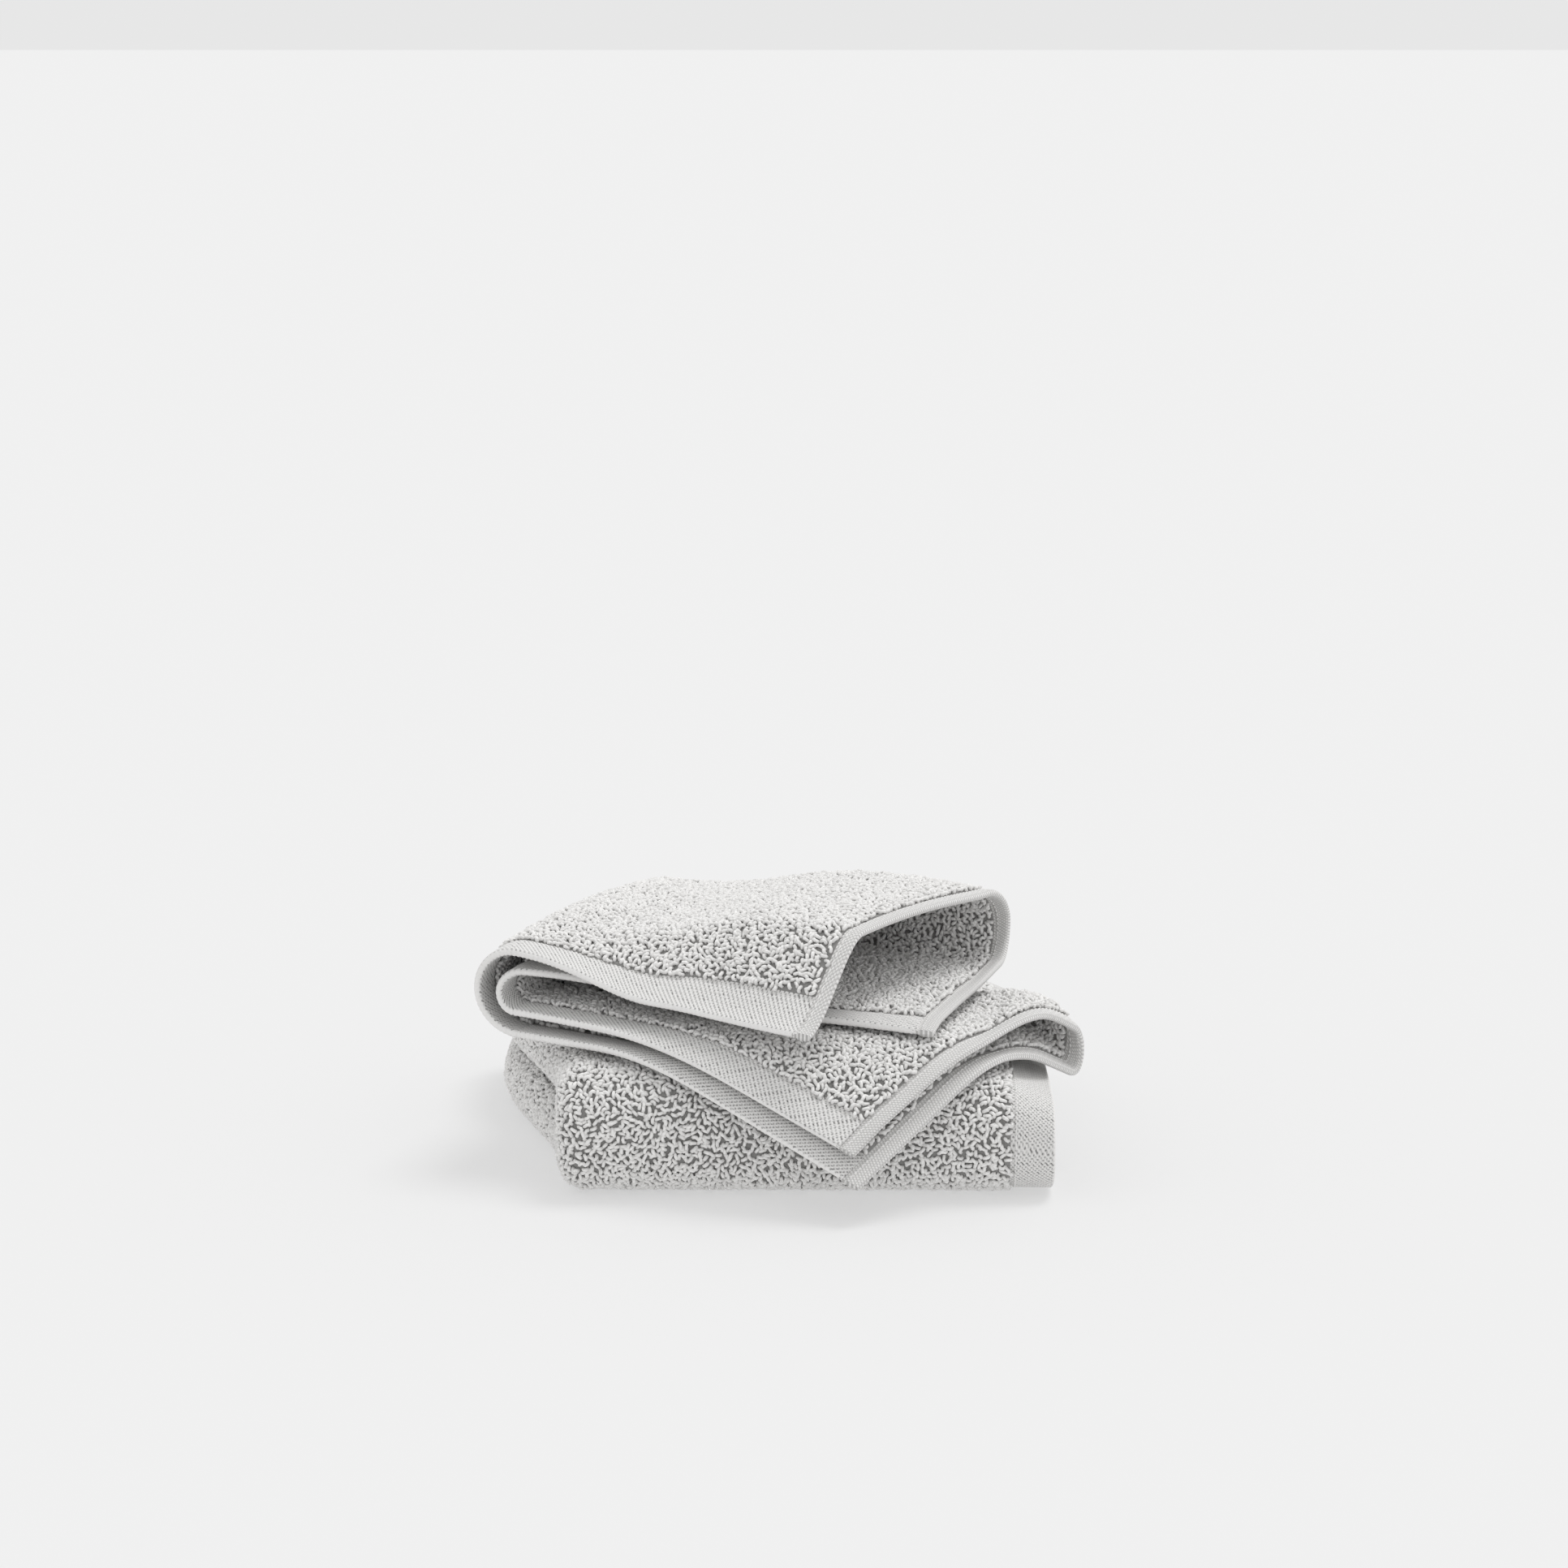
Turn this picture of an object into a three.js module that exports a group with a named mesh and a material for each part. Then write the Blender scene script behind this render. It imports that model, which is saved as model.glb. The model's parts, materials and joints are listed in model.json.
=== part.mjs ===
// Bath towel set: a hand towel folded into a thick pad with a face cloth folded in four on top of it.
// Units are millimetres, +Z is up and the front of the set faces -Y.
// The origin is on the rest plane, under the middle of the set.
import * as THREE from "three";

// ---- cloth thicknesses and the loft between two layers
const TERRY = 6.8;
const BAND = 3.4;
const HAND_LOFT = 2.4;
const CLOTH_LOFT = 1.0;
// ---- hand towel, laid out flat
const HAND_LENGTH = 584;
const HAND_WIDTH = 400;
const HAND_BORDER = 19;
const HAND_HEM = 8;
// ---- hand towel, folded in thirds across its length and then in half
const HAND_PITCH = TERRY + HAND_LOFT;
const HAND_FOLD_1 = 208;
const HAND_FOLD_2 = 405;
const HAND_LEFT = -103;
const HAND_FLARE = 33;
const HAND_RISE_LEFT = 1.05;
const HAND_RISE_RIGHT = 0.96;
const HAND_SINK = 0.2;
// ---- face cloth, laid out flat
const CLOTH_SIDE = 330;
const CLOTH_BORDER = 16;
const CLOTH_HEM = 7;
// ---- face cloth, folded in four
const CLOTH_PITCH = TERRY + CLOTH_LOFT;
const CLOTH_BACK_RADIUS = CLOTH_PITCH / 2 + 0.7;
const CLOTH_SPINE_RADIUS = 12.6;
// corner of each layer at the front, before it bends over the edge of the hand towel
const TIP_A = [2, -14];
const TIP_B = [53, 9];
const TIP_C = [20, -41];
const TIP_D = [22, -47];
// the closed corners and the open right-hand ones: how far they lie from the front tip in cloth sides
const fromTip = (x, y) => [TIP_C[0] + x * CLOTH_SIDE, TIP_C[1] + y * CLOTH_SIDE];
const CLOTH_LEFT_FRONT = fromTip(-158 / 330, 97 / 330);
const CLOTH_LEFT_BACK = fromTip(-98 / 330, 239 / 330);
const CLOTH_RIGHT_BACK_FLAP = fromTip(70 / 330, 163 / 330);
const CLOTH_RIGHT_BACK_BASE = fromTip(104 / 330, 107 / 330);
// bend of each layer over the front of the hand towel, in degrees
const BEND_A = 6;
const BEND_B = 16;
const BEND_C = 46;
const BEND_D = 46;
// height of the open fold at the right of the two upper layers
const PUFF_LEFT = 5;
const PUFF_RIGHT = 25;
const PUFF_BASE = 8;
// rounding of the open folds at the right, and the soft ridge along the closed back edge
const ROUND_FLAP = 17;
const ROUND_BASE = 8;
const CREST = 10;
const CROWN = 5;
// ---- clearances and seams
const GAP = 0.6;
const HEM_GAP = TERRY / 2 - 1.3;
const CLEAR = 1.5;
const THREAD = 0.7;
const THREAD_LIFT = 0.7;
const FRONT = 0;

// squareness of the hand towel's front fold: 2 is a round fold
const FOLD_SQUARE = 2.6;

const HALF_PI = Math.PI / 2;
const clamp = (t, a, b) => Math.min(Math.max(t, a), b);
const lerp = (a, b, t) => a + (b - a) * t;
const ease = (t) => {
  const c = clamp(t, 0, 1);
  return c * c * (3 - 2 * c);
};

// Height of one stack of six layers at a given x: the pad is a little thicker at its left, where the folds are.
const rise = (x) => lerp(HAND_RISE_LEFT, HAND_RISE_RIGHT, ease((x + 100) / 200));
// The thin end borders at the right let the pad sink there.
const sink = (x) => 1 - HAND_SINK * ease((x - 76) / 30);
const padTop = (x) => TERRY / 2 + (5 * HAND_PITCH) * rise(x) + TERRY / 2;

// Point of the hand towel's middle surface: u runs along its length from the outer end, v across its width.
function handPoint(u, v) {
  const rl = HAND_PITCH;
  const rr = HAND_PITCH / 2;
  const a1 = HAND_FOLD_1 - HALF_PI * rl;
  const a2 = HAND_FOLD_1 + HALF_PI * rl;
  const b1 = HAND_FOLD_2 - HALF_PI * rr;
  const b2 = HAND_FOLD_2 + HALF_PI * rr;
  const xl = rl + TERRY / 2;
  const xr = xl + (b1 - a2);
  let x;
  let w;
  if (u < a1) {
    x = xl + (a1 - u);
    w = 2 * rl;
  } else if (u < a2) {
    x = xl - rl * Math.sin((u - a1) / rl);
    w = rl + rl * Math.cos((u - a1) / rl);
  } else if (u < b1) {
    x = xl + (u - a2);
    w = 0;
  } else if (u < b2) {
    x = xr + rr * Math.sin((u - b1) / rr);
    w = rr - rr * Math.cos((u - b1) / rr);
  } else {
    x = xr - (u - b2);
    w = HAND_PITCH;
  }
  const b = v - HAND_WIDTH / 2;
  const r = HAND_PITCH / 2 + w;
  const outer = HAND_PITCH * 2.5;
  const q = Math.min(Math.abs(b) / r, HALF_PI);
  const run = Math.max(Math.abs(b) - HALF_PI * r, 0);
  const power = 2 / FOLD_SQUARE;
  const y = outer + TERRY / 2 - r * Math.max(Math.cos(q), 0) ** power + run;
  const z = outer + Math.sign(b) * r * Math.sin(q) ** power;
  const X = HAND_LEFT + x;
  const spread = HAND_FLARE * (1 - ease(x / 120)) * ease((y - 20) / 150);
  return [X - spread, FRONT + y, TERRY / 2 + z * rise(X) * sink(X)];
}

// Point of the face cloth's middle surface: u runs from the hem of layers C and D to the hem of A and B,
// v from the outer end border (layers A and D) to the inner one (B and C).
function clothPoint(u, v) {
  const half = CLOTH_SIDE / 2;
  const flap = u > half;
  const outer = v < half;
  const a = Math.abs(u - half);
  const c = Math.abs(v - half);
  const rho = CLOTH_BACK_RADIUS;
  const q = Math.min(c / rho, HALF_PI);
  const w = (outer ? 1 : -1) * rho * Math.sin(q);
  const r = CLOTH_SPINE_RADIUS + w;
  const big = CLOTH_SPINE_RADIUS + rho;
  const g = Math.min(a / r, HALF_PI);
  const side = a < HALF_PI * r ? big - r * Math.cos(g) : big + a - HALF_PI * r;
  const s = side / (big + half - HALF_PI * r);
  const o = 0.5 + (0.5 * w) / rho;
  // the spine hands over from the two lower layers to the two upper ones
  const m = 0.5 + (flap ? 0.5 : -0.5) * Math.sin(g);
  const tip = [0, 1].map((i) => lerp(lerp(TIP_C[i], TIP_D[i], o), lerp(TIP_B[i], TIP_A[i], o), m));
  const far = [0, 1].map((i) => lerp(CLOTH_RIGHT_BACK_BASE[i], CLOTH_RIGHT_BACK_FLAP[i], m));
  // an open fold turns over more slowly than a pressed one
  const roundBase = lerp(rho, ROUND_BASE, ease((s - 0.7) / 0.3));
  const roundFlap = lerp(rho, ROUND_FLAP, ease(s * 1.1));
  const wide = lerp(roundBase, roundFlap, m);
  const over = Math.min(c / wide, HALF_PI);
  const back = c < HALF_PI * wide ? wide * (1 - Math.cos(over)) : wide + c - HALF_PI * wide;
  const t = back / (wide + half - HALF_PI * wide);
  const plan = (i) =>
    (1 - s) * ((1 - t) * CLOTH_LEFT_BACK[i] + t * CLOTH_LEFT_FRONT[i])
    + s * (t * tip[i] + (1 - t) * far[i]);
  const x = plan(0);
  const y = FRONT + plan(1);
  // height of each layer over the pad
  const P = CLOTH_PITCH;
  const swell = PUFF_BASE * ease((x - 70) / 35);
  const hD = P / 2;
  const hC = 1.5 * P + swell;
  const hB = hC + P;
  const puff = (PUFF_RIGHT - PUFF_LEFT) * ease(s * 1.1);
  const hA = hB + P + PUFF_LEFT + puff - swell / 2;
  const up = 0.5 + (outer ? 0.5 : -0.5) * Math.sin(over);
  const crest = CREST * Math.sin(Math.PI * s ** 0.6) * (1 - clamp(t, 0, 1)) ** 3 * up;
  const flat = lerp(lerp(hC, hD, up), lerp(hB, hA, up) + crest, m);
  const round = P / 2 + big + (flap ? 1 : -1) * r * Math.sin(g);
  let h = lerp(round, flat, ease((s - 0.1) / 0.55));
  h += CROWN * Math.sin(Math.PI * clamp(t, 0, 1)) * clamp((h - P) / (2 * big), 0, 1);
  const sag = lerp(lerp(1.2, 0, o), lerp(0.5, 4 + 1.25 * puff, o), m);
  const edge = lerp(0.88, lerp(0.88, 0.74, o), m);
  h -= sag * ease((t - edge) / (1 - edge)) * ease((s - 0.08) / 0.45);
  const z = padTop(x) + CLEAR + h - (P - TERRY) / 2;
  // the front of each layer bends down over the pad's front fold
  const cy = FRONT + 2.5 * HAND_PITCH + TERRY / 2 - 2.5;
  const cz = padTop(x) / 2 - 2.5;
  const bend = THREE.MathUtils.degToRad(lerp(lerp(BEND_C, BEND_D, o), lerp(BEND_B, BEND_A, o), m));
  const d = Math.max(cy - y, 0);
  const R = z - cz;
  const turn = Math.min(d / R, bend);
  const rest = Math.max(d - R * bend, 0);
  const y2 = d > 0 ? cy - R * Math.sin(turn) - rest * Math.cos(bend) : y;
  const z2 = d > 0 ? cz + R * Math.cos(turn) - rest * Math.sin(bend) : z;
  // the two lower layers bend down over the pad's right end
  const cx = 82;
  const e = Math.max(x - cx, 0);
  const drop = flap ? 0 : THREE.MathUtils.degToRad(38);
  const Rx = 30 + h - P / 2;
  const tx = Math.min(e / Rx, drop);
  const rx = Math.max(e - Rx * drop, 0);
  const x3 = flap || e === 0 ? x : cx + Rx * Math.sin(tx) + rx * Math.cos(drop);
  const z3 = flap || e === 0 ? z2 : z2 - Rx * (1 - Math.cos(tx)) - rx * Math.sin(drop);
  return [x3, y2, z3];
}

// u of the line where the spine of the fold ends and the flap starts, at a given v.
function spineEnd(v) {
  const half = CLOTH_SIDE / 2;
  const c = Math.abs(v - half);
  const q = Math.min(c / CLOTH_BACK_RADIUS, HALF_PI);
  const w = (v < half ? 1 : -1) * CLOTH_BACK_RADIUS * Math.sin(q);
  return half + HALF_PI * (CLOTH_SPINE_RADIUS + w);
}

// Unit normal of a surface at (u, v), on the face that is outside when the cloth is folded.
function normalAt(point, u, v, sign) {
  const k = 0.05;
  const p = new THREE.Vector3(...point(u - k, v));
  const q = new THREE.Vector3(...point(u + k, v));
  const m = new THREE.Vector3(...point(u, v - k));
  const n = new THREE.Vector3(...point(u, v + k));
  return q.sub(p).cross(n.sub(m)).normalize().multiplyScalar(sign);
}

// A closed solid that follows the surface over a patch, from lo to hi along its normal.
function shell(point, sign, us, vs, lo, hi) {
  const rows = us.length;
  const cols = vs.length;
  const pos = [];
  for (const side of [hi, lo]) {
    for (let i = 0; i < rows; i++) {
      for (let j = 0; j < cols; j++) {
        const u = us[i](vs[j]);
        const base = new THREE.Vector3(...point(u, vs[j]));
        base.addScaledVector(normalAt(point, u, vs[j], sign), side);
        pos.push(base.x, base.y, base.z);
      }
    }
  }
  const at = (side, i, j) => side * rows * cols + i * cols + j;
  const index = [];
  const quad = (a, b, c, d) => index.push(a, b, c, a, c, d);
  for (let i = 0; i + 1 < rows; i++) {
    for (let j = 0; j + 1 < cols; j++) {
      quad(at(0, i, j), at(0, i + 1, j), at(0, i + 1, j + 1), at(0, i, j + 1));
      quad(at(1, i, j), at(1, i, j + 1), at(1, i + 1, j + 1), at(1, i + 1, j));
    }
  }
  for (let i = 0; i + 1 < rows; i++) {
    quad(at(0, i, 0), at(1, i, 0), at(1, i + 1, 0), at(0, i + 1, 0));
    quad(at(0, i + 1, cols - 1), at(1, i + 1, cols - 1), at(1, i, cols - 1), at(0, i, cols - 1));
  }
  for (let j = 0; j + 1 < cols; j++) {
    quad(at(0, 0, j + 1), at(1, 0, j + 1), at(1, 0, j), at(0, 0, j));
    quad(at(0, rows - 1, j), at(1, rows - 1, j), at(1, rows - 1, j + 1), at(0, rows - 1, j + 1));
  }
  if (sign < 0) {
    for (let k = 0; k < index.length; k += 3) {
      [index[k + 1], index[k + 2]] = [index[k + 2], index[k + 1]];
    }
  }
  const geometry = new THREE.BufferGeometry();
  geometry.setAttribute("position", new THREE.Float32BufferAttribute(pos, 3));
  geometry.setIndex(index);
  geometry.computeVertexNormals();
  return geometry;
}

// Evenly spaced values from a to b, and a list of stops joined end to end.
const spread = (a, b, n) => Array.from({ length: n + 1 }, (_, i) => lerp(a, b, i / n));
function stops(...runs) {
  const out = [];
  for (const [a, b, n] of runs) {
    for (const value of spread(a, b, n)) {
      if (!out.length || value - out[out.length - 1] > 1e-6) out.push(value);
    }
  }
  return out;
}
const fixed = (list) => list.map((u) => () => u);

const set = new THREE.Group();
function add(name, geometry, colour, roughness) {
  const material = new THREE.MeshStandardMaterial({ color: colour, roughness, metalness: 0 });
  const mesh = new THREE.Mesh(geometry, material);
  mesh.name = name;
  set.add(mesh);
}
const TERRY_GREY = 0xdddcda;
const TWILL_GREY = 0xd3d2d0;
const HEM_GREY = 0xd8d7d4;
const THREAD_GREY = 0xe4e3e0;

// ---- hand towel
{
  const L = HAND_LENGTH;
  const W = HAND_WIDTH;
  const rl = HAND_PITCH * HALF_PI;
  const rr = rl / 2;
  const uField = stops(
    [HAND_BORDER + GAP, HAND_FOLD_1 - rl, 7],
    [HAND_FOLD_1 - rl, HAND_FOLD_1 + rl, 14],
    [HAND_FOLD_1 + rl, HAND_FOLD_2 - rr, 7],
    [HAND_FOLD_2 - rr, HAND_FOLD_2 + rr, 10],
    [HAND_FOLD_2 + rr, L - HAND_BORDER - GAP, 7],
  );
  const turn = 2.5 * HAND_PITCH * HALF_PI;
  const vField = stops(
    [HAND_HEM + HEM_GAP, W / 2 - turn, 7],
    [W / 2 - turn, W / 2 + turn, 14],
    [W / 2 + turn, W - HAND_HEM - HEM_GAP, 7],
  );
  const vAll = [0, ...vField.slice(1, -1), W];
  const sign = -1;
  const make = (us, vs, lo, hi) => shell(handPoint, sign, us, vs, lo, hi);
  add("hand_terry", make(fixed(uField), vField, -TERRY / 2, TERRY / 2), TERRY_GREY, 0.95);
  const outerU = fixed([0, HAND_BORDER / 2, HAND_BORDER]);
  add("hand_border_outer", make(outerU, vAll, -BAND / 2, BAND / 2), TWILL_GREY, 0.9);
  const innerU = fixed([L - HAND_BORDER, L - HAND_BORDER / 2, L]);
  add("hand_border_inner", make(innerU, vAll, -BAND / 2, BAND / 2), TWILL_GREY, 0.9);
  const lowV = [0, HAND_HEM];
  add("hand_hem_lower", make(fixed(uField), lowV, -BAND / 2, BAND / 2), HEM_GREY, 0.9);
  const highV = [W - HAND_HEM, W];
  add("hand_hem_upper", make(fixed(uField), highV, -BAND / 2, BAND / 2), HEM_GREY, 0.9);
  const lift = BAND / 2 + THREAD_LIFT;
  const near = HAND_BORDER - 1.6;
  const row = fixed([near - THREAD, near]);
  add("hand_seam_outer", make(row, vAll, lift, lift + THREAD), THREAD_GREY, 0.8);
  const rowInner = fixed([L - near, L - near + THREAD]);
  add("hand_seam_inner", make(rowInner, vAll, lift, lift + THREAD), THREAD_GREY, 0.8);
}

// ---- face cloth
{
  const S = CLOTH_SIDE;
  const half = S / 2;
  const turn = CLOTH_BACK_RADIUS * HALF_PI;
  const vField = stops(
    [CLOTH_BORDER + GAP, CLOTH_BORDER + 70, 10],
    [CLOTH_BORDER + 70, half - turn, 5],
    [half - turn, half + turn, 8],
    [half + turn, S - CLOTH_BORDER - 70, 5],
    [S - CLOTH_BORDER - 70, S - CLOTH_BORDER - GAP, 10],
  );
  const vHem = [0, ...vField.slice(1, -1), S];
  // rows of the two lower layers, from their free hem to the start of the spine
  const baseRows = (from, off) => {
    const list = [];
    for (let i = 0; i <= 16; i++) list.push((v) => lerp(from, S - spineEnd(v) - off, i / 16));
    return list;
  };
  // rows round the spine, which bends where the cloth opens
  const spineRows = (off) => {
    const list = [];
    for (let i = 0; i <= 12; i++) {
      list.push((v) => lerp(S - spineEnd(v) + off, spineEnd(v) - off, i / 12));
    }
    return list;
  };
  const flapRows = (to, off) => {
    const list = [];
    for (let i = 0; i <= 12; i++) list.push((v) => lerp(spineEnd(v) + off, to, i / 12));
    return list;
  };
  const sign = 1;
  const make = (us, vs, lo, hi) => shell(clothPoint, sign, us, vs, lo, hi);
  const free = CLOTH_HEM + GAP;
  const base = baseRows(free, GAP / 2);
  const spine = spineRows(GAP / 2);
  const flap = flapRows(S - free, GAP / 2);
  add("cloth_terry_base", make(base, vField, -TERRY / 2, TERRY / 2), TERRY_GREY, 0.95);
  add("cloth_terry_spine", make(spine, vField, -TERRY / 2, TERRY / 2), TERRY_GREY, 0.95);
  add("cloth_terry_flap", make(flap, vField, -TERRY / 2, TERRY / 2), TERRY_GREY, 0.95);
  const outerV = [0, CLOTH_BORDER / 2, CLOTH_BORDER];
  const innerV = [S - CLOTH_BORDER, S - CLOTH_BORDER / 2, S];
  add("cloth_border_outer_base", make(base, outerV, -BAND / 2, BAND / 2), TWILL_GREY, 0.9);
  add("cloth_border_outer_spine", make(spine, outerV, -BAND / 2, BAND / 2), TWILL_GREY, 0.9);
  add("cloth_border_outer_flap", make(flap, outerV, -BAND / 2, BAND / 2), TWILL_GREY, 0.9);
  add("cloth_border_inner_base", make(base, innerV, -BAND / 2, BAND / 2), TWILL_GREY, 0.9);
  add("cloth_border_inner_spine", make(spine, innerV, -BAND / 2, BAND / 2), TWILL_GREY, 0.9);
  add("cloth_border_inner_flap", make(flap, innerV, -BAND / 2, BAND / 2), TWILL_GREY, 0.9);
  const baseHem = fixed([0, CLOTH_HEM]);
  const flapHem = fixed([S - CLOTH_HEM, S]);
  add("cloth_hem_base", make(baseHem, vHem, -BAND / 2, BAND / 2), HEM_GREY, 0.9);
  add("cloth_hem_flap", make(flapHem, vHem, -BAND / 2, BAND / 2), HEM_GREY, 0.9);
  const lift = BAND / 2 + THREAD_LIFT;
  const rowBase = fixed([CLOTH_HEM - 2, CLOTH_HEM - 2 + THREAD]);
  const rowFlap = fixed([S - CLOTH_HEM + 2 - THREAD, S - CLOTH_HEM + 2]);
  add("cloth_seam_base", make(rowBase, vHem, lift, lift + THREAD), THREAD_GREY, 0.8);
  add("cloth_seam_flap", make(rowFlap, vHem, lift, lift + THREAD), THREAD_GREY, 0.8);
}

// The set is centred over the origin.
const extent = new THREE.Box3().setFromObject(set);
set.position.x = -(extent.min.x + extent.max.x) / 2;
set.position.y = -(extent.min.y + extent.max.y) / 2;
set.position.z = -extent.min.z;
const root = new THREE.Group();
root.add(set);

export default root;
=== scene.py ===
import bpy
import json
import math
import numpy as np
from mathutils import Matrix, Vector
from mathutils.bvhtree import BVHTree
from mathutils.kdtree import KDTree


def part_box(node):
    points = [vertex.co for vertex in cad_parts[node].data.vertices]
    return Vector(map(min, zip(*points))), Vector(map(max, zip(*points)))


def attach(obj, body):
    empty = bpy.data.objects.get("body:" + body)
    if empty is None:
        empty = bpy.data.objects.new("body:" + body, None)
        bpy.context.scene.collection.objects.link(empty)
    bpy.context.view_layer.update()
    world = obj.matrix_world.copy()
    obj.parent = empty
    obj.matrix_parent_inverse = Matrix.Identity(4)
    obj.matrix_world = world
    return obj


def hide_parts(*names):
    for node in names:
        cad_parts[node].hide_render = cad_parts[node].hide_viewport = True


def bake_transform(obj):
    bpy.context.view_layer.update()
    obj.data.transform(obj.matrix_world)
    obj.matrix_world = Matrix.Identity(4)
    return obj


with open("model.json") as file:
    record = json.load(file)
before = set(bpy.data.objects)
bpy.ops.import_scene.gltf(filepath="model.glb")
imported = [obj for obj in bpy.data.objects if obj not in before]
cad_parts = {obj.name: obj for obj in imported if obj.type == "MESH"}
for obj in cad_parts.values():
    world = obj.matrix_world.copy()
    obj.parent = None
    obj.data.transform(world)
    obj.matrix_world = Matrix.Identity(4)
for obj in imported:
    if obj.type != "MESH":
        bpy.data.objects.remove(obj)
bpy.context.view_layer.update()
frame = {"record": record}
rng = np.random.default_rng(7)
MM = 0.001
HALF = math.pi / 2

# ---- sizes of the two towels, in millimetres, as in the solids
TERRY = 6.8                                  # thickness of the pile cloth
HAND_LENGTH, HAND_WIDTH, HAND_BORDER, HAND_HEM = 584.0, 400.0, 19.0, 8.0
HAND_PITCH, HAND_FOLD_1, HAND_FOLD_2 = 9.2, 208.0, 405.0
MID_LAYER, TOP_LAYER = 2.5, 5                # of six layers, counted in pitches
SQUARE = 2.6                                 # how square the front fold is
HAND_LEFT, HAND_FLARE = -103.0, 33.0
FLARE_ACROSS, FLARE_FROM, FLARE_OVER = 120, 20, 150
HAND_RISE_LEFT, HAND_RISE_RIGHT, RISE_FROM, RISE_OVER = 1.05, 0.96, -100, 200
HAND_SINK, SINK_FROM, SINK_OVER = 0.2, 76, 30
TERRY_GAP_U, TERRY_GAP_V = 0.6, 2.1          # from the borders and hems to the pile solid

CLOTH_SIDE, CLOTH_BORDER, CLOTH_HEM = 330.0, 16.0, 7.0
CLOTH_PITCH, BACK_RADIUS, SPINE_RADIUS = 7.8, 4.6, 12.6
LEFT_FRONT, LEFT_BACK = (-138.0, 56.0), (-78.0, 198.0)
RIGHT_BACK_FLAP, RIGHT_BACK_BASE = (90.0, 122.0), (124.0, 66.0)
TIP_A, TIP_B, TIP_C, TIP_D = (2.0, -14.0), (53.0, 9.0), (20.0, -41.0), (22.0, -47.0)
BEND_A, BEND_B, BEND_C, BEND_D = 6.0, 16.0, 46.0, 46.0
BEND_INSET = 2.5                             # the bend's axis lies this far in from the fold's
PUFF_LEFT, PUFF_RIGHT, PUFF_BASE, PUFF_RATE = 5.0, 25.0, 8.0, 1.1
SWELL_FROM, SWELL_OVER = 70, 35
ROUND_FLAP, ROUND_BASE, ROUND_FROM, ROUND_OVER = 17.0, 8.0, 0.7, 0.3
FLAT_FROM, FLAT_OVER = 0.1, 0.55
CROWN, CREST, CREST_LEAN, CREST_FADE = 5.0, 10.0, 0.6, 3
SAG_A, SAG_B, SAG_C, SAG_PUFF = 4, 0.5, 1.2, 1.25
SAG_EDGE, SAG_EDGE_A, SAG_FROM, SAG_OVER = 0.88, 0.74, 0.08, 0.45
DROOP_X, DROOP, DROOP_RADIUS = 82.0, math.radians(38), 30
CLEAR = 1.5                                  # between the two towels


def lerp(a, b, t):
    return a + (b - a) * t


def ease(t):
    t = np.clip(t, 0, 1)
    return t * t * (3 - 2 * t)


def unit(a):
    return a / np.maximum(np.linalg.norm(a, axis=-1, keepdims=True), 1e-9)


def rise(x):
    """How much taller or flatter than its pitches the hand towel is at x."""
    return lerp(HAND_RISE_LEFT, HAND_RISE_RIGHT, ease((x - RISE_FROM) / RISE_OVER))


def pad_top(x):
    return TERRY + TOP_LAYER * HAND_PITCH * rise(x)


def hand_point(u, v):
    """Middle surface of the folded hand towel: u along its length, v across its width."""
    u, v = np.broadcast_arrays(np.asarray(u, float), np.asarray(v, float))
    # in thirds: the left fold's radius is rl, the right fold's is rr
    rl, rr = HAND_PITCH, HAND_PITCH / 2
    a1, a2 = HAND_FOLD_1 - HALF * rl, HAND_FOLD_1 + HALF * rl
    b1, b2 = HAND_FOLD_2 - HALF * rr, HAND_FOLD_2 + HALF * rr
    xl = rl + TERRY / 2
    xr = xl + (b1 - a2)
    qa = np.clip((u - a1) / rl, 0, math.pi)
    qb = np.clip((u - b1) / rr, 0, math.pi)
    where = [u < a1, u < a2, u < b1, u < b2]
    x = np.select(where, [xl + a1 - u, xl - rl * np.sin(qa), xl + u - a2, xr + rr * np.sin(qb)],
                  xr - (u - b2))
    w = np.select(where, [2 * rl + 0 * u, rl + rl * np.cos(qa), 0 * u, rr - rr * np.cos(qb)],
                  HAND_PITCH)
    # then in half, round the front
    b = v - HAND_WIDTH / 2
    r = HAND_PITCH / 2 + w
    outer = HAND_PITCH * MID_LAYER
    q = np.minimum(np.abs(b) / r, HALF)
    run = np.maximum(np.abs(b) - HALF * r, 0)
    k = 2 / SQUARE
    y = outer + TERRY / 2 - r * np.maximum(np.cos(q), 0) ** k + run
    z = outer + np.sign(b) * r * np.sin(q) ** k
    X = HAND_LEFT + x
    spread = HAND_FLARE * (1 - ease(x / FLARE_ACROSS)) * ease((y - FLARE_FROM) / FLARE_OVER)
    sink = 1 - HAND_SINK * ease((X - SINK_FROM) / SINK_OVER)
    return np.stack([X - spread, y, TERRY / 2 + z * rise(X) * sink], -1)


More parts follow.
